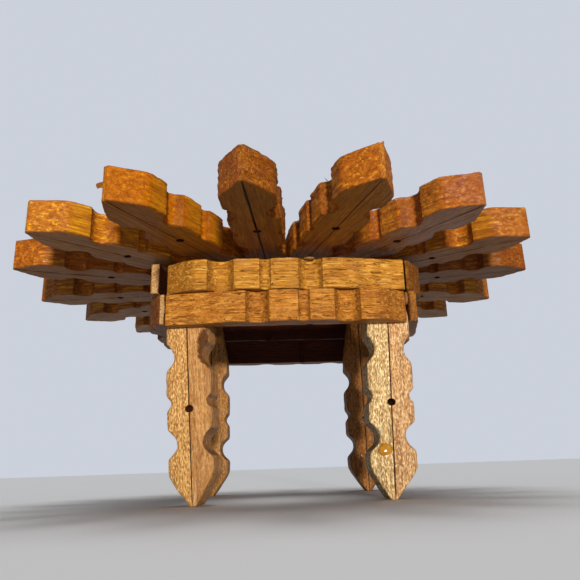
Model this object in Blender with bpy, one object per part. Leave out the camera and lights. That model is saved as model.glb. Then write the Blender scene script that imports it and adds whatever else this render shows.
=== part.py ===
"""A small round sunburst-top stand, glued up from wooden spring-clothespin halves.

Every node is one half of a clothespin, or one blob of varnish. Halves meet back to back
in pairs: seventeen pairs lie flat as the rays of the top, four pairs stand as legs, and
single halves, two high on each side, box the legs in as rails. Nothing moves.
"""

import math

import bmesh
import bpy

MM = 0.001

# One clothespin half. It lies along X from its handle end to its jaw tip, its flat back is
# the plane y = 0, its notched face looks along +Y, and Z runs across its width.
PIN_LENGTH = 73.0 * MM
PIN_WIDTH = 9.6 * MM
PIN_THICKNESS = {"ray": 7.1 * MM, "rail": 6.6 * MM, "leg": 6.6 * MM}
TIP_THICKNESS = 0.8 * MM
TIP_CHAMFER = 0.2 * MM
HANDLE_END_THICKNESS = 2.7 * MM
HANDLE_ROOT_THICKNESS = 6.1 * MM
HANDLE_SHOULDER_THICKNESS = 6.4 * MM

# Distances from the jaw tip along the half.
JAW_TAPER = 8.4 * MM
HANDLE_ROOT = 53.0 * MM
ARM_HOLE_RADIUS = 1.05 * MM

# The jaw notch, the spring-arm groove and the coil groove in the notched face: start, end and
# depth, measured from the jaw tip. The halves weren't all cut alike, so each use has its own.
GROOVES = {
    "ray": (
        (15.0 * MM, 22.8 * MM, 2.9 * MM),
        (30.2 * MM, 33.7 * MM, 1.3 * MM),
        (41.2 * MM, 49.0 * MM, 2.7 * MM),
    ),
    "rail": (
        (13.6 * MM, 21.6 * MM, 2.7 * MM),
        (29.0 * MM, 32.5 * MM, 1.2 * MM),
        (41.0 * MM, 48.3 * MM, 2.4 * MM),
    ),
    "leg": (
        (13.2 * MM, 21.1 * MM, 2.8 * MM),
        (27.0 * MM, 30.6 * MM, 1.2 * MM),
        (38.9 * MM, 46.7 * MM, 2.4 * MM),
    ),
}
ARM_HOLE_AT = {"ray": 30.4 * MM, "rail": 29.5 * MM, "leg": 27.0 * MM}

# Glue line between pieces that touch.
GAP = 0.3 * MM

# The legs stand in pairs, jaw tips down, and the top rests on their heads. Each leg gives the
# side-to-side place of its foot and of its head, its place from front to back, and its turn
# about its own length in degrees. The front pair leans in towards the floor.
LEGS = {
    "leg_front_left": (-27.4 * MM, -31.0 * MM, -30.6 * MM, -7.5),
    "leg_front_right": (28.8 * MM, 31.6 * MM, -31.1 * MM, 1.5),
    "leg_back_left": (-30.4 * MM, -30.4 * MM, 31.2 * MM, 0.0),
    "leg_back_right": (30.5 * MM, 30.5 * MM, 31.2 * MM, 0.0),
}

# The rails, two high on each side, flat backs against the legs. Each side gives its turn
# about Z, the distance of the flat backs from the middle and the way the upper jaw tip
# points. The whole box was glued on a little out of level, a few millimetres below the top.
RAIL_TOP = 71.1 * MM
RAIL_BOX_TILT = (1.0, 0.5)
RAIL_SIDES = {
    "front": (0.0, 36.4 * MM, -1),
    "right": (90.0, 37.5 * MM, -1),
    "back": (180.0, 36.4 * MM, 1),
    "left": (-90.0, 37.2 * MM, -1),
}

# How far the rails of one side sit above the others.
RAIL_LIFTS = {"left": 0.9 * MM, "right": 0.6 * MM}

# How far the jaw tip and the handle end of a badly glued rail stand out from the box.
RAIL_ENDS_OUT = {
    "rail_left_upper": (0.4 * MM, 1.9 * MM),
    "rail_right_lower": (0.8 * MM, 0.0),
}

# The sunburst top. Handle ends meet round a small open middle. Each ray was set by hand, so
# each has its own turn in degrees and its own slide outwards in millimetres.
TOP_UNDERSIDE = PIN_LENGTH + GAP
TOP_SHIFT = (-2.9 * MM, 1.5 * MM)
HUB_RADIUS = 17.3 * MM
FIRST_RAY_DEGREES = -95.6
RAY_SETTING = (
    (0.9, -1.3), (0.8, 1.5), (0.7, 0.4), (-0.3, 0.4), (-0.5, -0.8), (2.0, -1.0),
    (-0.2, 0.3), (0.0, 0.0), (0.0, 0.0), (0.0, 0.0), (0.0, 0.0), (0.3, 0.2),
    (-1.7, -0.2), (-2.5, -0.5), (0.2, 0.1), (0.2, 1.6), (-0.6, -0.2),
)

# The drip of varnish on the front right leg: its size, and where its middle is.
DRIP_SIZE = (3.6 * MM, 0.9 * MM, 3.0 * MM)
DRIP_FROM_PAIR_LINE = 2.3 * MM
DRIP_HEIGHT = 13.3 * MM

RAY_COLOUR = (0.42, 0.15, 0.035)
RAIL_COLOUR = (0.50, 0.21, 0.05)
LEG_COLOUR = (0.53, 0.27, 0.10)
DRIP_COLOUR = (0.62, 0.25, 0.03)


def clear_scene():
    for obj in list(bpy.data.objects):
        bpy.data.objects.remove(obj, do_unlink=True)


def groove_points(thickness, start, end, depth, steps):
    """A groove with sloping walls and a rounded floor, from its jaw side to its handle side."""
    middle = (start + end) / 2
    reach = (end - start) / 2
    points = []
    for step in range(steps + 1):
        share = 2 * step / steps - 1
        fall = depth * (1.0 - abs(share) ** 2.3)
        points.append((middle + reach * share, thickness - fall))
    return points


def hole_points(place, steps=4):
    """The half-round spring-arm hole in the flat back, from its handle side to its jaw side."""
    points = []
    for step in range(steps + 1):
        angle = math.pi * step / steps
        along = place + ARM_HOLE_RADIUS * math.cos(angle)
        points.append((along, ARM_HOLE_RADIUS * math.sin(angle)))
    return points


def half_outline(use):
    """The outline of a half as (distance from the jaw tip, thickness), once round."""
    thickness = PIN_THICKNESS[use]
    outline = [(0.0, TIP_CHAMFER), (0.0, TIP_THICKNESS)]
    outline.append((JAW_TAPER - 0.6 * MM, thickness - 0.35 * MM))
    outline.append((JAW_TAPER + 0.4 * MM, thickness))
    for groove, steps in zip(GROOVES[use], (8, 6, 8)):
        outline += groove_points(thickness, *groove, steps)
    outline[-1] = (outline[-1][0], HANDLE_SHOULDER_THICKNESS)
    outline.append((HANDLE_ROOT, HANDLE_ROOT_THICKNESS))
    outline.append((PIN_LENGTH, HANDLE_END_THICKNESS))
    outline.append((PIN_LENGTH, 0.0))
    outline += hole_points(ARM_HOLE_AT[use])
    outline.append((TIP_CHAMFER, 0.0))
    return outline


def half_mesh(use):
    """One half as a closed prism: its outline, carried across its width."""
    shape = bmesh.new()
    corners = [
        shape.verts.new((PIN_LENGTH - along, up, -PIN_WIDTH / 2))
        for along, up in half_outline(use)
    ]
    side = shape.faces.new(corners)
    bmesh.ops.recalc_face_normals(shape, faces=[side])
    grown = bmesh.ops.extrude_face_region(shape, geom=[side])
    far_corners = [item for item in grown["geom"] if isinstance(item, bmesh.types.BMVert)]
    bmesh.ops.translate(shape, verts=far_corners, vec=(0.0, 0.0, PIN_WIDTH))
    bmesh.ops.recalc_face_normals(shape, faces=shape.faces)
    mesh = bpy.data.meshes.new(use + "_half")
    shape.to_mesh(mesh)
    shape.free()
    return mesh


def wood(name, colour, roughness=0.35):
    material = bpy.data.materials.new(name)
    material.use_nodes = True
    shader = material.node_tree.nodes["Principled BSDF"]
    shader.inputs["Base Color"].default_value = (*colour, 1.0)
    shader.inputs["Roughness"].default_value = roughness
    shader.inputs["Metallic"].default_value = 0.0
    material.diffuse_color = (*colour, 1.0)
    return material


def toned(colour, index):
    """The same varnished wood, a little lighter or darker from one half to the next."""
    tone = 1.0 + 0.09 * math.sin(2.4 * index)
    return tuple(channel * tone for channel in colour)


def empty(name, location=(0.0, 0.0, 0.0), rotation=(0.0, 0.0, 0.0), parent=None):
    holder = bpy.data.objects.new(name, None)
    bpy.context.collection.objects.link(holder)
    holder.location = location
    holder.rotation_euler = rotation
    holder.parent = parent
    return holder


def add_half(name, shape, colour, location, rotation, parent):
    """One clothespin half, an object of its own on the shared mesh outline."""
    mesh = shape.copy()
    mesh.name = name
    mesh.materials.append(wood(name + "_wood", colour))
    half = bpy.data.objects.new(name, mesh)
    bpy.context.collection.objects.link(half)
    half.location = location
    half.rotation_euler = rotation
    half.parent = parent
    return half


def add_rays(shape, stand):
    """The sunburst: pairs of halves on edge, jaw tips out, evenly spread about Z."""
    top = empty("top", (*TOP_SHIFT, TOP_UNDERSIDE + PIN_WIDTH / 2), parent=stand)
    count = len(RAY_SETTING)
    for index, (turn, slide) in enumerate(RAY_SETTING):
        angle = math.radians(FIRST_RAY_DEGREES + 360.0 * index / count)
        inner_end = (HUB_RADIUS * math.cos(angle), HUB_RADIUS * math.sin(angle), 0.0)
        heading = angle + math.radians(turn) * (HUB_RADIUS + PIN_LENGTH) / PIN_LENGTH
        ray = empty(f"ray_{index + 1:02d}", inner_end, (0.0, 0.0, heading), top)
        along = slide * MM
        for letter, flip in (("a", 0.0), ("b", math.pi)):
            side = GAP / 2 if letter == "a" else -GAP / 2
            add_half(
                f"ray_{index + 1:02d}_{letter}",
                shape,
                toned(RAY_COLOUR, 2 * index + (letter == "b")),
                (along, side, 0.0),
                (flip, 0.0, 0.0),
                ray,
            )


def add_legs(shape, stand):
    """Four pairs on end. A leaning pair pivots on its tips, which stay on the floor."""
    for index, (name, (foot_x, head_x, place_y, degrees)) in enumerate(LEGS.items()):
        lean = math.asin((head_x - foot_x) / PIN_LENGTH)
        turn = math.radians(degrees)
        tip_reach = (TIP_THICKNESS + GAP / 2) * math.cos(turn) + PIN_WIDTH / 2 * abs(math.sin(turn))
        lift = tip_reach * abs(math.sin(lean))
        leaning = empty(f"{name}_lean", (foot_x, place_y, lift), (0.0, lean, 0.0), stand)
        leg = empty(name, rotation=(0.0, 0.0, turn), parent=leaning)
        for step, (word, flip) in enumerate((("right", 1), ("left", -1))):
            add_half(
                f"{name}_{word}_half",
                shape,
                toned(LEG_COLOUR, 2 * index + step),
                (flip * GAP / 2, 0.0, PIN_LENGTH),
                (flip * math.pi / 2, math.pi / 2, 0.0),
                leg,
            )


def add_rails(shape, stand):
    """Eight single halves round the heads of the legs, notched faces out."""
    middle = RAIL_TOP - PIN_WIDTH - GAP / 2
    tilt = (math.radians(RAIL_BOX_TILT[0]), math.radians(RAIL_BOX_TILT[1]), 0.0)
    box = empty("rail_box", (0.0, 0.0, middle), tilt, stand)
    level_offset = (PIN_WIDTH + GAP) / 2
    for number, (side, setting) in enumerate(RAIL_SIDES.items()):
        turn, distance, upper_tip = setting
        lift = (0.0, 0.0, RAIL_LIFTS.get(side, 0.0))
        holder = empty(f"rails_{side}", lift, (0.0, 0.0, math.radians(turn)), box)
        levels = (("upper", level_offset, upper_tip), ("lower", -level_offset, -upper_tip))
        for level, (word, height, tip_side) in enumerate(levels):
            tip_out, handle_out = RAIL_ENDS_OUT.get(f"rail_{side}_{word}", (0.0, 0.0))
            stray = math.asin((tip_out - handle_out) / PIN_LENGTH)
            reach = PIN_LENGTH / 2 * math.cos(stray)
            if tip_side < 0:
                location = (reach, -distance - handle_out, height)
                rotation = (0.0, 0.0, math.pi + stray)
            else:
                location = (-reach, -distance - handle_out, height)
                rotation = (math.pi, 0.0, -stray)
            add_half(
                f"rail_{side}_{word}",
                shape,
                toned(RAIL_COLOUR, 2 * number + level),
                location,
                rotation,
                holder,
            )


def add_drip(stand):
    """A flattened drop of varnish that dried on the left half of the front right leg."""
    shape = bmesh.new()
    bmesh.ops.create_icosphere(shape, subdivisions=2, radius=1.0)
    flat_side = bmesh.ops.bisect_plane(
        shape,
        geom=[*shape.verts, *shape.edges, *shape.faces],
        plane_co=(0.0, 0.0, 0.0),
        plane_no=(0.0, 1.0, 0.0),
        clear_outer=True,
    )
    rim = [item for item in flat_side["geom_cut"] if isinstance(item, bmesh.types.BMEdge)]
    bmesh.ops.contextual_create(shape, geom=rim)
    bmesh.ops.scale(shape, vec=(DRIP_SIZE[0] / 2, DRIP_SIZE[1], DRIP_SIZE[2] / 2), verts=shape.verts)
    bmesh.ops.recalc_face_normals(shape, faces=shape.faces)
    mesh = bpy.data.meshes.new("varnish_drip")
    shape.to_mesh(mesh)
    shape.free()
    mesh.shade_smooth()
    mesh.materials.append(wood("varnish_drip_amber", DRIP_COLOUR, 0.12))
    foot_x, head_x, place_y, _turn = LEGS["leg_front_right"]
    pair_line = foot_x + (head_x - foot_x) * DRIP_HEIGHT / PIN_LENGTH
    drip = bpy.data.objects.new("varnish_drip", mesh)
    bpy.context.collection.objects.link(drip)
    face = place_y - PIN_WIDTH / 2 - GAP
    drip.location = (pair_line - DRIP_FROM_PAIR_LINE, face, DRIP_HEIGHT)
    drip.parent = stand


def centre_on_origin(stand):
    """Moves the stand so that the middle of its outline, seen from above, is the origin."""
    bpy.context.view_layer.update()
    corners = [
        obj.matrix_world @ vertex.co
        for obj in bpy.data.objects
        if obj.type == "MESH"
        for vertex in obj.data.vertices
    ]
    for axis in (0, 1):
        values = [corner[axis] for corner in corners]
        stand.location[axis] = -(min(values) + max(values)) / 2


def main():
    clear_scene()
    stand = empty("stand")
    add_rays(half_mesh("ray"), stand)
    add_legs(half_mesh("leg"), stand)
    add_rails(half_mesh("rail"), stand)
    add_drip(stand)
    centre_on_origin(stand)


main()
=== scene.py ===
"""Looks of the small sunburst stand made of varnished clothespin halves.

Each CAD half is replaced by a finely meshed one with the same outline: eased and worn edges,
rough-sawn notched faces, small chips, and grain that follows its own length. Lengths in the
shape code are millimetres, in the half's own axes; matrices carry them into the row frame.
"""

import math
import random

import bpy
import numpy as np
from mathutils import Matrix, Vector, noise


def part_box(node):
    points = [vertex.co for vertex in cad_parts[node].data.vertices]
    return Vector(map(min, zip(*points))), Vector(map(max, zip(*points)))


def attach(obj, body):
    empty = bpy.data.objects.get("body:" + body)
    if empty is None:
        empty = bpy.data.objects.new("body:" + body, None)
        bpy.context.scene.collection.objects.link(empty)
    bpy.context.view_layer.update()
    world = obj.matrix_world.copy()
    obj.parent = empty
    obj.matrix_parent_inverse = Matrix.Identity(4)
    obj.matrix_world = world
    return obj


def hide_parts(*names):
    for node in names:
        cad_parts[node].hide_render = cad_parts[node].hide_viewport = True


MM = 0.001

# The clothespin half, measured from its jaw tip.
PIN_LENGTH = 73.0
PIN_WIDTH = 9.6
PIN_THICKNESS = {"ray": 7.1, "rail": 6.6, "leg": 6.6}
JAW_TAPER = 8.4
HANDLE_ROOT = 53.0
HANDLE_SHOULDER_THICKNESS = 6.4
HANDLE_ROOT_THICKNESS = 6.1
HANDLE_END_THICKNESS = 2.7
ARM_HOLE_RADIUS = 1.05

# Jaw notch, spring-arm groove and coil groove: start, end and depth; and the arm hole.
GROOVES = {
    "ray": ((15.0, 22.8, 2.9), (30.2, 33.7, 1.3), (41.2, 49.0, 2.7)),
    "rail": ((13.6, 21.6, 2.7), (29.0, 32.5, 1.2), (41.0, 48.3, 2.4)),
    "leg": ((13.2, 21.1, 2.8), (27.0, 30.6, 1.2), (38.9, 46.7, 2.4)),
}
ARM_HOLE_AT = {"ray": 30.4, "rail": 29.5, "leg": 27.0}

# The round floor of a groove, and how far the wear at its corners and at the jaw shoulder
# reaches along the half. The shoulder has worn down by the dent.
GROOVE_POWER = 2.3
CORNER_REACH = 0.5
SHOULDER_REACH = 0.9
SHOULDER_DENT = 0.22

# The largest radius of an edge, as a share of the thickness there, and that of a lower edge.
EDGE_LIMIT = 0.32
LOWER_EDGE = 0.16

# How finely a half is meshed: rings along it, in each groove and round the arm hole, the
# closest that two rings may lie, and points across the notched face, the back and a corner.
RINGS = 124
GROOVE_RINGS = 14
HOLE_RINGS = 8
CLOSEST_RINGS = 0.035
TOP_STEPS = 24
BACK_STEPS = 5
CORNER_STEPS = 3

# How far two flat backs swell towards each other where their glue line is closed.
CLOSED_SWELL = 0.145


def smooth_step(low, high, value):
    """From 0 at the low end to 1 at the high end, level at both."""
    t = min(max((value - low) / (high - low), 0.0), 1.0)
    return t * t * (3.0 - 2.0 * t)


def blend_values(a, b, share):
    """The first value at share 0, the second at share 1."""
    return a + (b - a) * share


def wobble(x, y, z):
    """Smooth noise between about -1 and 1, by place."""
    return noise.noise(Vector((x, y, z)))


# ---------------------------------------------------------------- placing on the CAD halves


def half_matrix(node):
    """The half's own axes in the row frame: X handle end to jaw tip, Y out of its flat back."""
    mesh = node.data
    mesh.calc_loop_triangles()
    normals = np.array([tuple(t.normal) for t in mesh.loop_triangles])
    areas = np.array([t.area for t in mesh.loop_triangles])
    alike = (normals @ normals.T) > 0.9999
    shares = alike @ areas
    back = Vector(normals[int(np.argmax(shares))])
    square = np.abs(normals @ np.array(back)) < 0.01
    side = Vector(normals[int(np.argmax(np.where(square, shares, 0.0)))])
    outward = -back
    along = outward.cross(side).normalized()
    points = np.array([tuple(v.co) for v in mesh.vertices])

    def end_thickness(direction):
        reach = points @ np.array(direction)
        end = points[reach > reach.max() - 0.00001]
        height = end @ np.array(outward)
        return height.max() - (points @ np.array(outward)).min()

    if end_thickness(along) > end_thickness(-along):
        along = -along
    across = along.cross(outward).normalized()
    reach = points @ np.array(along)
    height = points @ np.array(outward)
    spread = points @ np.array(across)
    origin = along * reach.min() + outward * height.min()
    origin += across * (spread.min() + spread.max()) / 2
    matrix = Matrix((along, outward, across)).transposed().to_4x4()
    matrix.translation = origin
    return matrix


# ---------------------------------------------------------------- the shape of one half


def groove_fall(along, groove):
    """How deep a groove is at a distance from the jaw tip, and how steep its wall is."""
    start, end, depth = groove
    reach = (end - start) / 2
    share = abs(along - (start + end) / 2) / reach
    if share >= 1.0:
        return 0.0, 0.0
    slope = depth * GROOVE_POWER * share ** (GROOVE_POWER - 1.0) / reach
    return depth * (1.0 - share ** GROOVE_POWER), slope


def eased_end(along, radius):
    """How much a rounded end takes off a face, at a distance from that end."""
    if along >= radius:
        return 0.0
    share = 1.0 - along / radius
    return radius * (1.0 - math.sqrt(1.0 - share * share))


def full_height(along, cut):
    """The height of the notched face as if no groove had been cut, past the jaw taper."""
    coil_start, coil_end = cut["grooves"][2][:2]
    middle = (coil_start + coil_end) / 2
    if along < middle:
        return cut["thickness"]
    if along < coil_end:
        share = smooth_step(middle, coil_end, along)
        return blend_values(cut["thickness"], HANDLE_SHOULDER_THICKNESS, share)
    if along < HANDLE_ROOT:
        share = (along - coil_end) / (HANDLE_ROOT - coil_end)
        return blend_values(HANDLE_SHOULDER_THICKNESS, HANDLE_ROOT_THICKNESS, share)
    share = (along - HANDLE_ROOT) / (PIN_LENGTH - HANDLE_ROOT)
    return blend_values(HANDLE_ROOT_THICKNESS, HANDLE_END_THICKNESS, share)


def notched_height(along, cut):
    """The height of the notched face over the flat back, at a distance from the jaw tip."""
    shoulder = JAW_TAPER + cut["taper"]
    if along < shoulder:
        share = along / shoulder
        height = blend_values(cut["tip"], cut["thickness"], share)
        height += cut["crown"] * math.sin(math.pi * share)
    else:
        height = full_height(along, cut)
    height -= SHOULDER_DENT * math.exp(-(((along - shoulder) / SHOULDER_REACH) ** 2))
    for groove in cut["grooves"]:
        height -= groove_fall(along, groove)[0]
        for edge in groove[:2]:
            height -= cut["corner"] * math.exp(-(((along - edge) / CORNER_REACH) ** 2))
    height -= eased_end(along, 0.3 * cut["tip"])
    return height - eased_end(PIN_LENGTH - along, 0.45)


def back_height(along, cut):
    """The height of the flat back, with the spring-arm hole. It swells into the glue line."""
    gap = ARM_HOLE_RADIUS ** 2 - (along - cut["hole_at"]) ** 2
    if gap > 0.0:
        return math.sqrt(gap) - 0.05
    swell = cut["swell"] + 0.04 * wobble(along * 0.11, 3.0, cut["seed"])
    closed = cut["closed"] * math.exp(-((along / cut["closed_to"]) ** 2))
    swell = blend_values(swell, CLOSED_SWELL, closed)
    ends = eased_end(along, 0.2 * cut["tip"]) + eased_end(PIN_LENGTH - along, 0.2)
    return ends - swell


def end_distance(along, cut):
    """The distance from the handle end, with that end itself lowered where the half asks."""
    handle = PIN_LENGTH - HANDLE_ROOT
    if along < HANDLE_ROOT:
        return PIN_LENGTH - along
    return blend_values(handle, cut["lowered"], (along - HANDLE_ROOT) / handle)


def stations(cut):
    """Distances from the jaw tip at which the half gets a ring, closer in the grooves."""
    places = {0.04, 0.12, 0.25, PIN_LENGTH - 0.05, PIN_LENGTH - 0.15, PIN_LENGTH - 0.3}
    for step in range(RINGS + 1):
        places.add(round(PIN_LENGTH * step / RINGS, 3))
    for start, end, _depth in cut["grooves"]:
        middle = (start + end) / 2
        reach = (end - start) / 2
        for step in range(GROOVE_RINGS + 1):
            angle = math.pi * step / GROOVE_RINGS
            places.add(round(middle - reach * math.cos(angle), 3))
        places.add(round(start - 0.12, 3))
        places.add(round(end + 0.12, 3))
    for step in range(HOLE_RINGS + 1):
        angle = math.pi * step / HOLE_RINGS
        places.add(round(cut["hole_at"] - ARM_HOLE_RADIUS * math.cos(angle), 3))
    ordered = sorted(places)
    kept = [ordered[0]]
    for place in ordered[1:]:
        if place - kept[-1] > CLOSEST_RINGS:
            kept.append(place)
    kept[-1] = PIN_LENGTH
    return kept


def ring_layout(side_steps):
    """The ring round a half as (part, share) pairs, anticlockwise seen from its jaw tip."""
    layout = []
    for step in range(TOP_STEPS + 1):
        layout.append(("top", step / TOP_STEPS))
    for step in range(1, CORNER_STEPS):
        layout.append(("top_right", step / CORNER_STEPS))
    for step in range(side_steps + 1):
        layout.append(("right", step / side_steps))
    layout.append(("back_right", 0.5))
    for step in range(BACK_STEPS + 1):
        layout.append(("back", step / BACK_STEPS))
    layout.append(("back_left", 0.5))
    for step in range(side_steps + 1):
        layout.append(("left", step / side_steps))
    for step in range(1, CORNER_STEPS):
        layout.append(("top_left", step / CORNER_STEPS))
    return layout


def ring_point(part, share, top, back, half_width, edges):
    """One point of the ring: (height, across), and how much of an edge it is."""
    right, left, low = edges
    if part == "top":
        return top, blend_values(-(half_width - left), half_width - right, share), 0.0
    if part == "top_right":
        angle = share * math.pi / 2
        return (
            top - right + right * math.cos(angle),
            half_width - right + right * math.sin(angle),
            1.0,
        )
    if part == "right":
        worn = 0.6 if share < 0.01 else 0.0
        return blend_values(top - right, back + low, share), half_width, worn
    if part == "back_right":
        return back + low * 0.3, half_width - low * 0.3, 0.5
    if part == "back":
        return back, blend_values(half_width - low, -(half_width - low), share), 0.0
    if part == "back_left":
        return back + low * 0.3, -(half_width - low * 0.3), 0.5
    if part == "left":
        worn = 0.6 if share > 0.99 else 0.0
        return blend_values(back + low, top - left, share), -half_width, worn
    angle = share * math.pi / 2
    return (
        top - left + left * math.sin(angle),
        -(half_width - left) - left * math.cos(angle),
        1.0,
    )


def edge_radius(along, side, cut):
    """How worn the long edge is here: an even small radius, with chips and nicks."""
    wander = wobble(along * 0.45, side * 9.0, cut["seed"])
    nicks = abs(wobble(along * 2.1, side * 4.0, cut["seed"] + 2.0))
    radius = cut["edge"] * (1.0 + 0.5 * wander) + cut["jagged"] * nicks
    for place, chip_side, length, size in cut["chips"]:
        if chip_side == side:
            radius += size * math.exp(-(((along - place) / length) ** 2))
    return radius


def surface_shift(part, along, height, across, cut):
    """The roughness of the surface, in millimetres outwards, from its own saw marks."""
    seed = cut["seed"]
    if part.startswith("top"):
        ridges = wobble(along * 0.13, across * 1.25, seed)
        creases = 0.3 - abs(wobble(along * 0.14, across * 0.95, seed + 3.0))
        lumps = wobble(along * 0.6, across * 0.7, seed + 5.0)
        tears = wobble(along * 0.4, across * 2.1, seed + 9.0)
        uneven = cut["rough"] * (0.16 * ridges + 0.08 * lumps + 0.09 * tears)
        return uneven + cut["creased"] * creases
    if part in ("right", "left"):
        side = 3.0 if part == "right" else 7.0
        fibres = wobble(along * 0.2, height * 1.4, seed + side)
        swell = wobble(along * 0.09, height * 0.25, seed + side)
        return 0.05 * fibres + 0.07 * swell
    return 0.02 * wobble(along * 0.3, across * 0.8, seed)


def make_cut(rng, use, style):
    """A half's own dimensions: those of its style, with what differs by chance."""

    def near(value, spread):
        return value + rng.uniform(-spread, spread)

    grooves = []
    for start, end, depth in style.get("grooves", GROOVES[use]):
        shift = style["shift"] + rng.uniform(-0.25, 0.25)
        grooves.append((near(start, 0.12) + shift, near(end, 0.12) + shift, near(depth, 0.15)))
    chips = []
    for _ in range(style["chips"]):
        chips.append(
            (
                rng.uniform(1.0, 52.0),
                rng.choice((-1, 1)),
                rng.uniform(0.25, 0.9),
                rng.uniform(0.15, 0.5),
            )
        )
    return {
        **style,
        "grooves": grooves,
        "chips": chips,
        "thickness": PIN_THICKNESS[use],
        "hole_at": ARM_HOLE_AT[use],
        "seed": rng.uniform(0.0, 200.0),
        "taper": rng.uniform(-0.4, 0.4),
        "crown": rng.uniform(0.0, 0.15),
        "tip": style["tip"] * rng.uniform(0.8, 1.2),
        "edge": style["edge"] * rng.uniform(0.85, 1.2),
        "rough": style["rough"] * rng.uniform(0.85, 1.2),
    }


def torn_share(part, along, height, cut):
    """How deep a point lies in the torn patch beside the coil groove, if the half has one."""
    torn_part, start, end, lowest = cut["torn"]
    if part not in (torn_part, "top_" + torn_part) or not start < along < end:
        return 0.0
    share = (along - start) / (end - start)
    ragged = 0.8 * wobble(along * 1.3, height * 1.1, cut["seed"])
    low = lowest + 3.6 * abs(2.0 * share - 1.0) ** 3 + ragged
    return smooth_step(low - 0.1, low + 0.2, height)


def sawn_share(along, cut):
    """Where the darker, rougher sawn colour shows: the jaw taper, the grooves and past them."""
    share = 1.0 - smooth_step(JAW_TAPER + 0.3, JAW_TAPER + 1.3, along)
    share *= cut["sawn_taper"]
    for start, end, _depth in cut["grooves"]:
        inside = smooth_step(start - 0.1, start + 0.3, along)
        inside *= 1.0 - smooth_step(end + cut["sawn_past"], end + cut["sawn_past"] + 0.5, along)
        share = max(share, inside * cut["sawn_grooves"])
    return share


def ring_edges(along, depth, cut):
    """The radii of a ring's two worn upper edges and of its lower ones, in a shallow ring less."""
    limit = EDGE_LIMIT * depth
    right = min(edge_radius(along, 1, cut), limit)
    left = min(edge_radius(along, -1, cut), limit)
    return right, left, min(LOWER_EDGE, limit)


def roughened(part, along, height, across, cut):
    """A ring point with its surface's roughness, and how deep it lies in the torn patch."""
    ends = min(along, PIN_LENGTH - along)
    shift = surface_shift(part, along, height, across, cut)
    shift *= smooth_step(0.0, 0.8, ends)
    if part.startswith("top"):
        height += shift
    elif part == "right":
        across += shift
    elif part == "left":
        across -= shift
    elif part == "back" and abs(across) < 1.5:
        height = min(height, 0.02)
    torn = torn_share(part, along, height, cut)
    crumble = 0.6 + 0.5 * wobble(along * 1.9, height * 1.9, cut["seed"])
    across -= math.copysign(torn * crumble, across)
    return height, across, torn


def tube_faces(rows, columns):
    """Faces of a closed tube: rows of points round it, and a flat cap at each end."""
    faces = []
    for row in range(rows - 1):
        for column in range(columns):
            following = (column + 1) % columns
            faces.append(
                (
                    row * columns + column,
                    (row + 1) * columns + column,
                    (row + 1) * columns + following,
                    row * columns + following,
                )
            )
    faces.append(tuple(range(columns)))
    last = (rows - 1) * columns
    faces.append(tuple(reversed(range(last, last + columns))))
    return faces


# What the wood material reads at each point, in this order. The wall, glued and under layers also
# carry painted shade, and under also a painted floor reflection.
WEAR_AND_SHADE_LAYERS = ("edge", "wall", "sawn", "glue_and_shade", "under", "end")


def half_arrays(cut, upright):
    """Vertices, faces, and for each vertex its place in the wood, its wear and its painted shade.
    """
    layout = ring_layout(cut["side_steps"])
    places = stations(cut)
    # The side that faces down gets painted shade, greyed as a painted reflection of the floor.
    shaded_underside = "left" if upright > 0.0 else "right"
    points = []
    grain = []
    wear = []
    for along in places:
        top = notched_height(along, cut)
        back = back_height(along, cut)
        edges = ring_edges(along, top - back, cut)
        ends = min(along, PIN_LENGTH - along)
        half_width = PIN_WIDTH / 2 - eased_end(ends, 0.25)
        steep = max(groove_fall(along, groove)[1] for groove in cut["grooves"])
        # Steep groove walls are darker: partly stain, partly painted shade.
        wall = smooth_step(0.65, 1.15, steep)
        sawn = sawn_share(along, cut)
        # Painted shade on the legs' upper ends, past the given distance from the jaw tip.
        painted_end_shade = smooth_step(cut["painted_end_shade"], cut["painted_end_shade"] + 0.8, along)
        end = cut["ends"] if ends < 0.03 else 0.0
        for part, share in layout:
            height, across, edge = ring_point(part, share, top, back, half_width, edges)
            height, across, torn = roughened(part, along, height, across, cut)
            points.append((end_distance(along, cut), height, across))
            grain.append((along, height, across))
            on_top = part.startswith("top")
            # Flat backs darkened: dark glue joints, and on the rails' inner faces painted shade.
            glue_and_shade = smooth_step(0.6, 1.4, along) if part.startswith("back") else 0.0
            wear.append(
                (
                    edge,
                    max(wall if on_top else 0.0, 1.9 * torn),
                    sawn if on_top else 0.0,
                    max(glue_and_shade, painted_end_shade, 0.4 * torn),
                    1.0 if part == shaded_underside and abs(upright) > 0.5 else 0.0,
                    end,
                )
            )
    return points, tube_faces(len(places), len(layout)), grain, wear


def add_values(mesh, name, kind, values):
    """A named layer of per-vertex values for the wood material."""
    layer = mesh.attributes.new(name, kind, "POINT")
    field = {"FLOAT": "value", "FLOAT_VECTOR": "vector", "FLOAT_COLOR": "color"}[kind]
    layer.data.foreach_set(field, values)


def wooden_piece(name, matrix, arrays, seed, tint, specks_and_glints, material):
    """A piece of wood as one object in the row frame, with what its material reads."""
    points, faces, grain, wear = arrays
    mesh = bpy.data.meshes.new(name)
    mesh.from_pydata([tuple(matrix @ (Vector(p) * MM)) for p in points], [], faces)
    mesh.validate()
    offset = Vector((seed * 3.1, seed * 1.7, seed * 2.3))
    add_values(mesh, "grain", "FLOAT_VECTOR", [c for g in grain for c in (Vector(g) + offset)])
    for index, layer in enumerate(WEAR_AND_SHADE_LAYERS):
        add_values(mesh, layer, "FLOAT", [w[index] for w in wear])
    add_values(mesh, "specks_and_glints", "FLOAT", [specks_and_glints] * len(points))
    add_values(mesh, "tint", "FLOAT_COLOR", [c for _ in points for c in (*tint, 1.0)])
    mesh.shade_smooth()
    mesh.set_sharp_from_angle(angle=math.radians(42.0))
    mesh.materials.append(material)
    piece = bpy.data.objects.new(name, mesh)
    bpy.context.scene.collection.objects.link(piece)
    return piece


# ---------------------------------------------------------------- varnished wood


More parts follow.
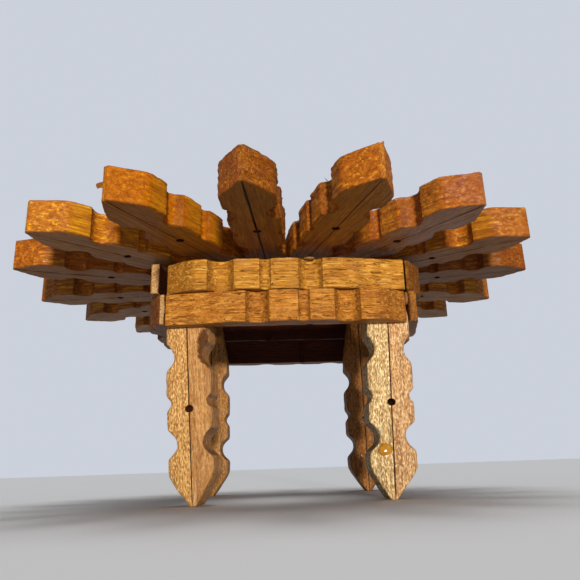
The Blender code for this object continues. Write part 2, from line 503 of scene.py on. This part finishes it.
class Nodes:
    """Short calls for laying out a material's nodes."""

    def __init__(self, name):
        self.material = bpy.data.materials.new(name)
        self.material.use_nodes = True
        self.tree = self.material.node_tree
        self.shader = self.tree.nodes["Principled BSDF"]

    def link(self, source, target):
        self.tree.links.new(source, target)

    def add(self, kind, **settings):
        node = self.tree.nodes.new(kind)
        for key, value in settings.items():
            setattr(node, key, value)
        return node

    def attribute(self, name, output="Fac"):
        node = self.add("ShaderNodeAttribute", attribute_name=name)
        return node.outputs[output]

    def stretched(self, vector, scale, shift=(0.0, 0.0, 0.0)):
        node = self.add("ShaderNodeVectorMath", operation="MULTIPLY_ADD")
        self.link(vector, node.inputs[0])
        node.inputs[1].default_value = scale
        node.inputs[2].default_value = shift
        return node.outputs["Vector"]

    def noise(self, vector, detail=2.0, roughness=0.5, distortion=0.0):
        node = self.add("ShaderNodeTexNoise")
        self.link(vector, node.inputs["Vector"])
        node.inputs["Scale"].default_value = 1.0
        node.inputs["Detail"].default_value = detail
        node.inputs["Roughness"].default_value = roughness
        node.inputs["Distortion"].default_value = distortion
        return node.outputs["Fac"]

    def range(self, value, low, high, to_low=0.0, to_high=1.0):
        node = self.add("ShaderNodeMapRange", interpolation_type="SMOOTHSTEP")
        self.link(value, node.inputs["Value"])
        node.inputs["From Min"].default_value = low
        node.inputs["From Max"].default_value = high
        node.inputs["To Min"].default_value = to_low
        node.inputs["To Max"].default_value = to_high
        return node.outputs["Result"]

    def math(self, operation, a, b):
        node = self.add("ShaderNodeMath", operation=operation)
        for socket, value in zip(node.inputs, (a, b)):
            if isinstance(value, (int, float)):
                socket.default_value = value
            else:
                self.link(value, socket)
        return node.outputs["Value"]

    def mix(self, share, a, b, blend="MIX"):
        node = self.add("ShaderNodeMix", data_type="RGBA", blend_type=blend)
        for socket, value in ((node.inputs[0], share), (node.inputs[6], a), (node.inputs[7], b)):
            if isinstance(value, (int, float)):
                socket.default_value = value
            elif isinstance(value, tuple):
                socket.default_value = (*value, 1.0)
            else:
                self.link(value, socket)
        return node.outputs[2]


def scaled(colour, *factors):
    """A colour times one factor, or times a factor for each of red, green and blue."""
    if len(factors) == 1:
        factors = factors * 3
    return tuple(min(c * f, 1.0) for c, f in zip(colour, factors))


def wood_noises(n, look):
    """The patterns that run through a piece of wood, along its own grain."""
    wood = n.attribute("grain", "Vector")
    return {
        "streaks": n.noise(n.stretched(wood, (0.045, 0.75, 0.75)), 4.0, 0.6, 0.4),
        "fibres": n.noise(n.stretched(wood, look["fibre_scale"]), 3.0, 0.6, 0.3),
        "lines": n.noise(n.stretched(wood, (0.07, 0.95, 0.95), (31.0, 7.0, 3.0)), 2.0, 0.5, 0.2),
        "breaks": n.noise(n.stretched(wood, (0.22, 0.9, 0.9), (3.0, 90.0, 5.0)), 2.0, 0.5),
        "cloud": n.noise(n.stretched(wood, (0.13, 0.2, 0.2), (5.0, 50.0, 9.0)), 3.0, 0.55, 0.5),
        "lumps": n.noise(n.stretched(wood, (0.5, 0.9, 0.9), (17.0, 21.0, 60.0)), 3.0, 0.6),
        "grit": n.noise(n.stretched(wood, look["grit"], (70.0, 2.0, 11.0)), 2.0, 0.6),
    }


def crack_share(n, noises):
    """Where the short dark cracks along the grain are."""
    thin = n.math("ABSOLUTE", n.math("SUBTRACT", noises["lines"], 0.5), 0.0)
    broken = n.range(noises["breaks"], 0.40, 0.50)
    return n.math("MULTIPLY", n.range(thin, 0.005, 0.021, 1.0, 0.0), broken)


def varnished_colour(n, look, noises, crack):
    """Streaks, sawn faces, fibres and cracks, then cloudy varnish over them, with painted glints
    as bright specks and pale fibre lines that are partly painted highlights.
    """
    light, dark, sawn = look["light"], look["dark"], look["sawn"]
    streaks, fibres, grit = noises["streaks"], noises["fibres"], noises["grit"]
    colour = n.mix(n.range(streaks, 0.32, 0.70), light, dark)
    sawn_colour = n.mix(n.range(streaks, 0.34, 0.66), sawn, scaled(sawn, 0.62, 0.55, 0.5))
    sawn_here = n.math("MULTIPLY", n.attribute("sawn"), look["sawn_share"])
    colour = n.mix(sawn_here, colour, sawn_colour)
    colour = n.mix(n.range(fibres, 0.50, 0.76, 0.0, look["fibres"]), colour, dark)
    # Pale fibre lines along the grain: paler grain, and partly painted highlights.
    pale = scaled(light, *look["pale"])
    colour = n.mix(n.range(fibres, 0.32, 0.47, look["fibres"] * 0.8, 0.0), colour, pale)
    cracked = n.math("MULTIPLY", crack, look["cracks"])
    colour = n.mix(cracked, colour, scaled(dark, 0.42, 0.36, 0.3))
    thick = n.range(noises["cloud"], 0.45, 0.78, 0.0, 0.4)
    colour = n.mix(thick, colour, scaled(dark, 0.85, 0.6, 0.4))
    # Bright specks: painted glints, as strong as the half asks.
    specks = n.math("MULTIPLY", n.range(grit, 0.53, 0.62), n.attribute("specks_and_glints"))
    colour = n.mix(specks, colour, scaled(light, 1.35, 1.6, 2.3))
    hollows = n.math("MULTIPLY", n.range(grit, 0.38, 0.49, 1.0, 0.0), n.attribute("specks_and_glints"))
    return n.mix(n.math("MULTIPLY", hollows, 0.9), colour, scaled(dark, 0.66, 0.58, 0.5))


def worn_and_shaded_colour(n, look, colour, grit):
    """The half's tint, darker at worn edges and glue joints, with pale end grain; painted shade on
    groove walls, underside, rails' inner backs and legs' upper ends.
    """
    dark = look["dark"]
    colour = n.mix(1.0, colour, n.attribute("tint", "Color"), "MULTIPLY")
    # Groove walls and the torn patch darker: stain, and painted shade in the grooves.
    walls = n.math("MULTIPLY", n.attribute("wall"), look["walls"])
    colour = n.mix(walls, colour, scaled(dark, 0.35, 0.3, 0.3))
    rubbed = n.math("MULTIPLY", n.attribute("edge"), look["rubbed"])
    colour = n.mix(rubbed, colour, scaled(dark, 0.45))
    # Painted shade on the downward side, greyed and blued as a painted reflection of the pale
    # floor.
    under = n.math("MULTIPLY", n.attribute("under"), look["under"])
    colour = n.mix(under, colour, scaled(dark, 0.68, 1.05, 4.0))
    end_grain = n.mix(n.range(grit, 0.44, 0.56), (0.50, 0.24, 0.075), (0.78, 0.50, 0.22))
    colour = n.mix(n.attribute("end"), colour, end_grain)
    # Dark glue joints on the flat backs, also darkening the torn patch; on the rails' inner backs
    # and the legs' upper ends this dark colour is painted shade.
    glue = n.math("MULTIPLY", n.attribute("glue_and_shade"), 0.97)
    return n.mix(glue, colour, scaled(dark, 0.16, 0.06, 0.05))


def add_relief(n, look, noises, crack):
    """The fine relief of the grain under the varnish, as bump."""
    ridges = n.math("MULTIPLY", noises["fibres"], look["ridges"])
    pits = n.math("MULTIPLY", crack, -0.35)
    swells = n.math("MULTIPLY", noises["lumps"], look["lumps"])
    grains = n.math("MULTIPLY", noises["grit"], look["grains"])
    height = n.math("ADD", n.math("ADD", ridges, pits), n.math("ADD", swells, grains))
    bump = n.add("ShaderNodeBump")
    bump.inputs["Strength"].default_value = look["relief"]
    bump.inputs["Distance"].default_value = 0.45 * MM
    n.link(height, bump.inputs["Height"])
    n.link(bump.outputs["Normal"], n.shader.inputs["Normal"])
    n.link(bump.outputs["Normal"], n.shader.inputs["Coat Normal"])


def varnished_wood(name, look):
    """Beech under old amber varnish: streaks and cracks along the grain, cloudy varnish."""
    n = Nodes(name)
    noises = wood_noises(n, look)
    crack = crack_share(n, noises)
    colour = varnished_colour(n, look, noises, crack)
    colour = worn_and_shaded_colour(n, look, colour, noises["grit"])
    n.link(colour, n.shader.inputs["Base Color"])
    n.link(n.range(noises["cloud"], 0.3, 0.7, 0.42, 0.6), n.shader.inputs["Roughness"])
    n.shader.inputs["Coat Weight"].default_value = look["coat"]
    n.shader.inputs["Coat Roughness"].default_value = 0.09
    n.shader.inputs["Coat IOR"].default_value = 1.5
    n.shader.inputs["Specular IOR Level"].default_value = 0.08
    add_relief(n, look, noises, crack)
    return n.material


# ---------------------------------------------------------------- the stand

# What every half starts from. Distances are from the jaw tip: how far the glue line is
# closed, and where painted shade on the handle end begins, which for most halves is past it.
COMMON = {
    "shift": 0.0,
    "closed_to": 2.0,
    "painted_end_shade": 200.0,
    "lowered": 0.0,
    "side_steps": 6,
    "torn": ("none", 0.0, 0.0, 0.0),
}

# What the halves of one use have in common, in millimetres where it is a length:
# - chips, edge, jagged: how many chips an edge has, its radius and the depth of its nicks.
# - tip, corner: the jaw tip's thickness, and the wear of the grooves' corners.
# - rough, creased: the strength of the saw marks and of the long creases.
# - swell, closed: how far the flat back stands out, and how closed the tips' glue line is.
# - sawn_taper, sawn_grooves, sawn_past: how sawn the jaw taper and the grooves look, and how
#   far past a groove that look goes on.
# - ends, sparkle: how bare the end grain is, and how strong the speckle is: bright specks of
#   painted glints, and darker dots.
STYLES = {
    "ray": {
        "chips": 9,
        "edge": 0.24,
        "jagged": 0.7,
        "creased": 0.35,
        "ends": 0.05,
        "corner": 0.16,
        "rough": 1.5,
        "tip": 0.5,
        "swell": 0.09,
        "closed": 1.0,
        "sawn_taper": 1.0,
        "sawn_past": 1.2,
        "sawn_grooves": 1.0,
        "specks_and_glints": 0.06,
    },
    "rail": {
        "chips": 4,
        "edge": 0.24,
        "jagged": 0.25,
        "creased": 0.1,
        "ends": 0.0,
        "corner": 0.2,
        "rough": 1.0,
        "tip": 1.1,
        "swell": 0.0,
        "closed": 0.0,
        "sawn_taper": 0.7,
        "sawn_past": -0.2,
        "sawn_grooves": 0.15,
        "specks_and_glints": 0.1,
    },
    "leg": {
        "chips": 5,
        "edge": 0.26,
        "jagged": 0.35,
        "creased": 0.12,
        "ends": 0.0,
        "corner": 0.32,
        "rough": 1.0,
        "tip": 0.8,
        "swell": 0.07,
        "closed": 0.6,
        "sawn_taper": 0.5,
        "sawn_past": 0.0,
        "sawn_grooves": 1.0,
        # Painted shade on the legs' handle ends from here on.
        "painted_end_shade": 69.0,
        "specks_and_glints": 0.55,
    },
}

# The foremost ray is deeply creased, with an open glue line and varnish to its very ends.
FOREMOST = {"wood": "lined_ray", "swell": -0.05, "rough": 1.7, "specks_and_glints": 0.0, "ends": 0.0}

# What sets single halves apart from the rest of their kind.
SINGLE = {
    "rail_left_upper": {"ends": 0.9},
    "rail_left_lower": {"ends": 0.9, "tip": 1.6},
    "rail_front_upper": {"shift": -0.6},
    "rail_front_lower": {"shift": 0.6, "specks_and_glints": 0.25},
    "leg_front_left_left_half": {"tip": 0.5, "specks_and_glints": 0.85, "closed_to": 12.0},
    "leg_front_left_right_half": {
        "tip": 1.0,
        "specks_and_glints": 0.35,
        "side_steps": 14,
        "closed_to": 12.0,
        "torn": ("right", 38.5, 51.5, 2.9),
    },
    "leg_front_right_left_half": {"tip": 1.3, "specks_and_glints": 0.9, "lowered": 1.6},
    "leg_front_right_right_half": {"tip": 0.4, "specks_and_glints": 0.75, "lowered": 1.6},
    "ray_01_a": {**FOREMOST, "creased": 0.75},
    "ray_01_b": {**FOREMOST, "creased": 0.6},
    "ray_02_a": {"rough": 1.0, "jagged": 0.5},
    "ray_03_a": {"wood": "wet_ray"},
    "ray_03_b": {"wood": "wet_ray"},
    "ray_17_a": {
        "wood": "dull_ray",
        "rough": 0.9,
        "grooves": ((15.2, 22.6, 2.9), (30.8, 35.0, 1.5), (42.2, 49.2, 2.7)),
    },
    "ray_17_b": {"wood": "dull_ray"},
}

# Halves with a colour of their own, as a red, green and blue factor. Some stand for light: painted
# shadow, painted shade or painted sheen, as noted.
TINTS_AND_PAINTED_LIGHT = {
    "ray_01_a": (0.80, 0.74, 0.55),
    # Paler and bluer: painted sheen.
    "ray_01_b": (0.88, 0.84, 1.8),
    "ray_02_a": (1.0, 0.95, 1.0),
    "ray_02_b": (1.02, 0.97, 1.1),
    "ray_03_a": (0.95, 0.86, 0.9),
    "ray_03_b": (0.95, 0.86, 0.9),
    "ray_04_a": (0.92, 0.86, 0.9),
    # Painted shadow from the ray in front of it.
    "ray_05_a": (0.55, 0.48, 0.6),
    "ray_05_b": (0.55, 0.48, 0.6),
    "ray_15_a": (0.88, 0.82, 0.9),
    "ray_15_b": (0.88, 0.82, 0.9),
    "ray_16_a": (1.15, 1.25, 0.9),
    "ray_16_b": (1.15, 1.20, 0.9),
    "ray_17_a": (1.0, 0.97, 0.30),
    "ray_17_b": (1.0, 0.95, 0.40),
    "rail_front_upper": (1.04, 1.08, 1.08),
    "rail_front_lower": (0.96, 0.88, 0.94),
    "rail_left_upper": (0.95, 1.0, 1.3),
    "rail_left_lower": (0.55, 0.44, 0.60),
    "rail_right_upper": (0.60, 0.50, 0.42),
    "rail_right_lower": (0.75, 0.68, 0.8),
    # Painted shade inside the frame.
    "rail_back_upper": (0.55, 0.40, 0.3),
    "rail_back_lower": (0.55, 0.40, 0.3),
    "leg_front_left_left_half": (1.10, 1.02, 0.86),
    "leg_front_left_right_half": (0.92, 0.80, 0.72),
    # Whiter and bluer: painted sheen.
    "leg_front_right_left_half": (1.20, 1.42, 1.75),
    "leg_front_right_right_half": (1.12, 1.12, 1.35),
    "leg_back_left_left_half": (0.80, 0.66, 0.50),
    "leg_back_left_right_half": (0.80, 0.66, 0.50),
    # Painted shadow from the front right leg.
    "leg_back_right_left_half": (0.62, 0.44, 0.28),
    "leg_back_right_right_half": (0.54, 0.38, 0.25),
}


# A look's light, dark and sawn are colours, and pale is a factor on light. The scales are
# how fine its fibres and its grit are along the grain and across it. The rest are strengths.


def ray_look():
    """Deep orange varnish with broad lumps under it."""
    return {
        "light": (0.66, 0.250, 0.011),
        "dark": (0.33, 0.085, 0.005),
        "sawn": (0.60, 0.165, 0.010),
        "pale": (1.4, 1.75, 2.2),
        "sawn_share": 0.85,
        "fibre_scale": (0.12, 1.35, 1.35),
        "fibres": 0.95,
        "cracks": 0.45,
        "walls": 0.42,
        "rubbed": 0.6,
        "under": 0.6,
        "grit": (1.3, 2.0, 2.0),
        "ridges": 1.0,
        "lumps": 1.3,
        "grains": 0.5,
        "relief": 0.8,
        "coat": 0.35,
    }


def rail_look():
    """Yellower varnish over strong fibres and many cracks."""
    return {
        "light": (0.68, 0.285, 0.029),
        "dark": (0.38, 0.125, 0.011),
        "sawn": (0.40, 0.145, 0.013),
        "pale": (1.45, 1.85, 3.2),
        "sawn_share": 0.7,
        "fibre_scale": (0.14, 1.7, 1.7),
        "fibres": 0.8,
        "cracks": 1.0,
        "walls": 0.42,
        "rubbed": 0.25,
        "under": 0.3,
        "grit": (1.3, 2.4, 2.4),
        "ridges": 1.8,
        "lumps": 0.5,
        "grains": 0.4,
        "relief": 0.9,
        "coat": 0.35,
    }


def leg_look():
    """Paler wood under clearer varnish, gritty and speckled, the bright specks being painted
    glints.
    """
    return {
        "light": (0.84, 0.465, 0.150),
        "dark": (0.50, 0.225, 0.060),
        "sawn": (0.54, 0.250, 0.060),
        "pale": (1.2, 1.4, 2.0),
        "sawn_share": 0.6,
        "fibre_scale": (0.20, 1.9, 1.9),
        "fibres": 0.6,
        "cracks": 0.2,
        "walls": 0.5,
        "rubbed": 0.3,
        "under": 0.0,
        "grit": (0.95, 2.5, 2.5),
        "ridges": 0.9,
        "lumps": 0.7,
        "grains": 1.3,
        "relief": 1.0,
        "coat": 0.5,
    }


def build_woods():
    """One material for each look: three kinds of ray stand out from the common one."""
    dull_ray = {**ray_look(), "coat": 0.12, "relief": 0.6, "fibres": 0.5}
    wet_ray = {**ray_look(), "coat": 0.9, "lumps": 2.3, "fibres": 0.7}
    lined_ray = {
        **ray_look(),
        "fibre_scale": (0.16, 2.4, 2.4),
        "cracks": 0.9,
        "ridges": 2.2,
        "lumps": 0.5,
        "grains": 0.2,
    }
    return {
        "ray": varnished_wood("ray_wood", ray_look()),
        "dull_ray": varnished_wood("ray_wood_dull", dull_ray),
        "wet_ray": varnished_wood("ray_wood_wet", wet_ray),
        "lined_ray": varnished_wood("ray_wood_lined", lined_ray),
        "rail": varnished_wood("rail_wood", rail_look()),
        "leg": varnished_wood("leg_wood", leg_look()),
    }


# The rays at the sides and behind, darkened as painted shade.
SHADED_RAYS = range(5, 15)

# Each half draws its chances from a seed of its own, counted up from this one.
FIRST_SEED = 1000


def tint_of(name, rng):
    """A half's tint: the named ones, or a slight one by chance, darker on the side and back rays
    as painted shade.
    """
    tone = rng.uniform(0.86, 1.12)
    warmth = rng.uniform(0.93, 1.07)
    if name in TINTS_AND_PAINTED_LIGHT:
        return TINTS_AND_PAINTED_LIGHT[name]
    # Painted shade on the rays at the sides and behind.
    if name.startswith("ray") and int(name.split("_")[1]) in SHADED_RAYS:
        tone *= 0.88
    return (tone, tone * warmth, tone * warmth)


def build_halves(frame, woods):
    """Every clothespin half of the frame, each in place of its CAD node."""
    for number, name in enumerate(sorted(frame["nodes"])):
        use = name.split("_")[0]
        if use not in PIN_THICKNESS:
            continue
        rng = random.Random(FIRST_SEED + number)
        style = {**COMMON, **STYLES[use], **SINGLE.get(name, {})}
        cut = make_cut(rng, use, style)
        matrix = half_matrix(frame["nodes"][name])
        arrays = half_arrays(cut, matrix.col[2].z)
        material = woods[style.get("wood", use)]
        tint = tint_of(name, rng)
        piece = wooden_piece(
            name + "_wood", matrix, arrays, cut["seed"], tint, style["specks_and_glints"], material
        )
        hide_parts(name)
        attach(piece, "root")


# ---------------------------------------------------------------- drips, glue and splinters


def hardened_varnish(name, clear, deep):
    """Amber varnish or glue: smooth and glossy, darker where it is thick or dirty."""
    n = Nodes(name)
    place = n.attribute("grain", "Vector")
    cloud = n.noise(n.stretched(place, (0.7, 0.7, 0.7)), 3.0, 0.6)
    colour = n.mix(n.range(cloud, 0.35, 0.65), clear, scaled(clear, 0.8, 0.65, 0.5))
    colour = n.mix(n.attribute("edge"), colour, deep)
    n.link(colour, n.shader.inputs["Base Color"])
    n.link(n.range(cloud, 0.3, 0.7, 0.1, 0.2), n.shader.inputs["Roughness"])
    n.shader.inputs["Coat Weight"].default_value = 1.0
    n.shader.inputs["Coat Roughness"].default_value = 0.05
    return n.material


def blob_piece(name, points, faces, rim, material):
    """A closed drop from points in millimetres in the row frame."""
    mesh = bpy.data.meshes.new(name)
    mesh.from_pydata([tuple(Vector(p) * MM) for p in points], [], faces)
    mesh.validate()
    add_values(mesh, "grain", "FLOAT_VECTOR", [c for p in points for c in p])
    add_values(mesh, "edge", "FLOAT", rim)
    mesh.shade_smooth()
    mesh.materials.append(material)
    piece = bpy.data.objects.new(name, mesh)
    bpy.context.scene.collection.objects.link(piece)
    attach(piece, "root")
    return piece


def rolled_faces(rows, columns):
    """Faces of a closed bag: a pole, rows of points round it, and the other pole."""
    last = 1 + rows * columns
    faces = []
    for column in range(columns):
        following = (column + 1) % columns
        faces.append((0, 1 + column, 1 + following))
        faces.append((last, last - columns + following, last - columns + column))
        for row in range(rows - 1):
            start = 1 + row * columns
            faces.append(
                (
                    start + column,
                    start + columns + column,
                    start + columns + following,
                    start + following,
                )
            )
    return faces


def build_drip(material):
    """The drip on the front right leg: a sagging drop with a lobe up towards the notch."""
    low, high = (Vector(corner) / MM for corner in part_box("varnish_drip"))
    middle = (low + high) / 2
    width = 1.2 * (high.x - low.x) / 2
    height = 1.22 * (high.z - low.z) / 2
    bulge = 0.12
    sag = 0.45
    front = low.y - bulge
    base = high.y + 0.4
    rows, columns = 12, 40
    points = [(middle.x, front, middle.z - 0.1)]
    rim = [0.0]
    for row in range(1, rows + 1):
        share = row / rows
        out = base - (base - front) * (1.0 - share ** 2.4) ** 0.55
        for column in range(columns):
            angle = 2 * math.pi * column / columns
            ragged = 1.0 + 0.07 * math.sin(2 * angle + 0.7) + 0.05 * math.sin(3 * angle + 2.0)
            ragged += 0.12 * math.exp(-(((angle - 1.9) / 0.35) ** 2))
            x = middle.x + width * ragged * share * math.cos(angle)
            z = middle.z + 0.35 + height * ragged * share * math.sin(angle)
            z -= sag * (1.0 - share * share)
            points.append((x, out, z))
            below = smooth_step(0.1, 0.9, -math.sin(angle))
            rim.append(0.75 * smooth_step(0.72, 0.98, share) * (0.35 + 0.65 * below))
    points.append((middle.x, base + 0.1, middle.z))
    rim.append(0.0)
    faces = [tuple(reversed(face)) for face in rolled_faces(rows, columns)]
    piece = blob_piece("varnish_drip_drop", points, faces, rim, material)
    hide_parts("varnish_drip")


def build_bead(name, middle, sizes, seed, material):
    """A small irregular bead of glue or varnish."""
    rows, columns = 9, 18
    points = [tuple(Vector(middle) + Vector((0.0, 0.0, sizes[2])))]
    for row in range(1, rows + 1):
        tilt = math.pi * row / (rows + 1)
        for column in range(columns):
            angle = 2 * math.pi * column / columns
            way = Vector(
                (
                    math.sin(tilt) * math.cos(angle),
                    math.sin(tilt) * math.sin(angle),
                    math.cos(tilt),
                )
            )
            swell = 1.0 + 0.35 * noise.noise(way * 1.7 + Vector((seed, seed, 0.0)))
            offset = Vector(w * s for w, s in zip(way, sizes)) * swell
            points.append(tuple(Vector(middle) + offset))
    points.append(tuple(Vector(middle) - Vector((0.0, 0.0, sizes[2]))))
    rim = [0.2] * len(points)
    blob_piece(name, points, rolled_faces(rows, columns), rim, material)


def build_glue(material):
    """Glue squeezed out over the front upper rail, and beside the front right corner."""
    low, high = (Vector(corner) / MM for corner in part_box("rail_front_upper"))
    length = high.x - low.x
    for number, (share, reach) in enumerate(((0.47, 1.3), (0.516, 2.2), (0.60, 1.7))):
        middle = (low.x + share * length, low.y + 0.9, high.z - 0.75 + 0.4 * share)
        build_bead(f"glue_top_{number}", middle, (reach, 0.7, 0.4), 3.0 + number, material)
    low, high = (Vector(corner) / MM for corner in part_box("rail_front_lower"))
    middle = (high.x + 0.3, high.y - 1.2, blend_values(low.z, high.z, 0.72))
    build_bead("glue_corner", middle, (0.55, 0.9, 1.9), 11.0, material)


def sliver_arrays(path, radii, seed):
    """A ragged stick of wood through the points of a path, in a half's own axes."""
    columns = 10
    points = []
    axis = (Vector(path[-1]) - Vector(path[0])).normalized()
    side = axis.orthogonal().normalized()
    lift = axis.cross(side)
    points.append(tuple(Vector(path[0])))
    for place, radius in zip(path, radii):
        for column in range(columns):
            angle = 2 * math.pi * column / columns
            ragged = 1.0 + 0.5 * wobble(column * 0.9, place[1] * 1.3, seed)
            spoke = side * math.cos(angle) + lift * math.sin(angle)
            points.append(tuple(Vector(place) + spoke * radius * ragged))
    points.append(tuple(Vector(path[-1])))
    faces = [tuple(reversed(face)) for face in rolled_faces(len(path), columns)]
    wear = [(0.3, 0.0, 0.5, 0.0, 0.0, 0.0)] * len(points)
    return points, faces, points, wear


def build_sliver(name, node, path, radii, tint, material):
    """A loose stick of wood on one half, with its path in that half's own axes."""
    matrix = half_matrix(node)
    arrays = sliver_arrays(path, radii, len(name) * 1.7)
    piece = wooden_piece(name, matrix, arrays, 5.0, tint, 0.1, material)
    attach(piece, "root")


def build_fibres(node, material):
    """Thin fibres torn up beside a ray's jaw notch, each curling a little to one side."""
    rng = random.Random(77)
    radii = (0.14, 0.12, 0.08, 0.04)
    pale = (1.4, 1.7, 6.0)
    for number in range(6):
        along = PIN_LENGTH - rng.uniform(20.5, 24.5)
        lean = rng.uniform(-0.7, 0.7)
        length = rng.uniform(0.8, 1.8)
        path = []
        for step in range(4):
            share = step / 3
            curl = -4.4 - 0.5 * share * share
            path.append((along + lean * share, 5.6 + length * share, curl))
        build_sliver(f"fibre_ray_02_{number}", node, path, radii, pale, material)


def build_splinters(nodes, material):
    """A broken stub at one ray's tip, and a raised corner and torn-up fibres on another."""
    tip = PIN_LENGTH
    stub = (
        (tip - 2.2, 0.6, -0.9),
        (tip - 1.9, 2.0, -0.9),
        (tip - 1.5, 3.1, -0.8),
        (tip - 1.3, 3.7, -0.7),
    )
    radii = (0.9, 0.85, 0.7, 0.6)
    build_sliver("stub_ray_17", nodes["ray_17_b"], stub, radii, (0.8, 0.75, 2.0), material)
    corner = (
        (tip - 1.8, 0.5, 4.3),
        (tip - 1.2, 0.6, 4.7),
        (tip - 0.7, 0.7, 5.1),
        (tip - 0.4, 0.8, 5.4),
    )
    radii = (0.6, 0.55, 0.4, 0.15)
    build_sliver("ear_ray_02", nodes["ray_02_a"], corner, radii, (1.0, 0.9, 0.9), material)
    build_fibres(nodes["ray_02_b"], material)


def build_stand(frame):
    """All the pieces of the stand."""
    woods = build_woods()
    build_halves(frame, woods)
    amber = hardened_varnish("varnish", (0.68, 0.33, 0.020), (0.30, 0.10, 0.006))
    build_drip(amber)
    build_glue(hardened_varnish("clear_glue", (0.34, 0.17, 0.055), (0.20, 0.09, 0.03)))
    build_splinters(frame["nodes"], woods["ray"])


# ---------------------------------------------------------------- floor, light and camera

# The camera, in millimetres from the middle of the box of legs and rails, which lies a
# little to the right of and in front of the row frame's origin. It stands low and looks up.
CAMERA_FROM_LEGS = (-2.493, -207.181, 9.744)
LEGS_MIDDLE = (3.802, -2.134, 0.0)
CAMERA_YAW = math.radians(1.27)
CAMERA_PITCH = math.radians(17.04)
CAMERA_ROLL = math.radians(-1.98)
SENSOR_WIDTH = 36.0
LENS_PER_SENSOR = 0.995

# How strongly the backdrop lights the stand, next to 1.0 for how bright it shows.
AMBIENT = 0.2
FLOOR_REACH = 4.0


def floor_paint():
    """Pale paint that shows paler than the light it throws back up under the stand."""
    n = Nodes("pale_floor")
    path = n.add("ShaderNodeLightPath")
    colour = n.mix(path.outputs["Is Camera Ray"], (0.58, 0.58, 0.57), (0.93, 0.93, 0.92))
    n.link(colour, n.shader.inputs["Base Color"])
    n.shader.inputs["Roughness"].default_value = 0.8
    return n.material


def build_floor():
    mesh = bpy.data.meshes.new("floor")
    ways = ((-1, -1), (1, -1), (1, 1), (-1, 1))
    corners = [(x * FLOOR_REACH, y * FLOOR_REACH, 0.0) for x, y in ways]
    mesh.from_pydata(corners, [], [(0, 1, 2, 3)])
    mesh.materials.append(floor_paint())
    floor = bpy.data.objects.new("floor", mesh)
    bpy.context.scene.collection.objects.link(floor)


def build_world():
    """A pale backdrop all round, which lights the stand less than it shows."""
    world = bpy.data.worlds.new("studio")
    world.use_nodes = True
    tree = world.node_tree
    shown = tree.nodes["Background"]
    shown.inputs["Color"].default_value = (0.60, 0.635, 0.71, 1.0)
    shown.inputs["Strength"].default_value = 1.0
    ambient = tree.nodes.new("ShaderNodeBackground")
    ambient.inputs["Color"].default_value = (0.62, 0.65, 0.70, 1.0)
    ambient.inputs["Strength"].default_value = AMBIENT
    path = tree.nodes.new("ShaderNodeLightPath")
    mix = tree.nodes.new("ShaderNodeMixShader")
    tree.links.new(path.outputs["Is Camera Ray"], mix.inputs[0])
    tree.links.new(ambient.outputs[0], mix.inputs[1])
    tree.links.new(shown.outputs[0], mix.inputs[2])
    tree.links.new(mix.outputs[0], tree.nodes["World Output"].inputs["Surface"])
    bpy.context.scene.world = world


def sun(name, azimuth, elevation, spread, strength, colour):
    """Even light from one side: azimuth from the front towards the right, in degrees."""
    lamp = bpy.data.lights.new(name, "SUN")
    lamp.angle = math.radians(spread)
    lamp.energy = strength
    lamp.color = colour
    holder = bpy.data.objects.new(name, lamp)
    bpy.context.scene.collection.objects.link(holder)
    turn, rise = math.radians(azimuth), math.radians(elevation)
    source = Vector(
        (math.sin(turn) * math.cos(rise), -math.cos(turn) * math.cos(rise), math.sin(rise))
    )
    holder.rotation_euler = (-source).to_track_quat("-Z", "Y").to_euler()


def build_lights():
    """A low warm light from the front, and a soft one from above and behind."""
    sun("key", 6.5, 1.0, 5.0, 3.45, (1.0, 0.97, 0.93))
    sun("top", 170.0, 76.0, 30.0, 1.4, (0.97, 0.98, 1.0))


def build_camera():
    """The photograph's angle: turned by the yaw, tipped up by the pitch, then rolled."""
    yaw, pitch, roll = CAMERA_YAW, CAMERA_PITCH, CAMERA_ROLL
    right = Vector((math.cos(yaw), -math.sin(yaw), 0.0))
    forward = Vector(
        (math.sin(yaw) * math.cos(pitch), math.cos(yaw) * math.cos(pitch), math.sin(pitch))
    )
    up = right.cross(forward)
    turned_right = math.cos(roll) * right + math.sin(roll) * up
    turned_up = -math.sin(roll) * right + math.cos(roll) * up
    data = bpy.data.cameras.new("camera")
    data.sensor_width = SENSOR_WIDTH
    data.lens = LENS_PER_SENSOR * SENSOR_WIDTH
    data.clip_start = 0.005
    camera = bpy.data.objects.new("camera", data)
    bpy.context.scene.collection.objects.link(camera)
    matrix = Matrix((turned_right, turned_up, -forward)).transposed().to_4x4()
    matrix.translation = (Vector(CAMERA_FROM_LEGS) + Vector(LEGS_MIDDLE)) * MM
    camera.matrix_world = matrix
    bpy.context.scene.camera = camera


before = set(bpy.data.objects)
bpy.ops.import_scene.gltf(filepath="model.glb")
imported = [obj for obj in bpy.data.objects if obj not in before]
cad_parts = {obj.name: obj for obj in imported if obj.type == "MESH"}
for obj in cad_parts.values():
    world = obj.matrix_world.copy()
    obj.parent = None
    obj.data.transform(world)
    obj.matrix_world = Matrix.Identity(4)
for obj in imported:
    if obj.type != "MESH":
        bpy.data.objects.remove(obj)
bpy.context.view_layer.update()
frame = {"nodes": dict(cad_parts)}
build_floor()
build_world()
build_lights()
build_camera()
build_stand(frame)
bpy.context.scene.view_settings.view_transform = "Standard"
bpy.context.view_layer.update()
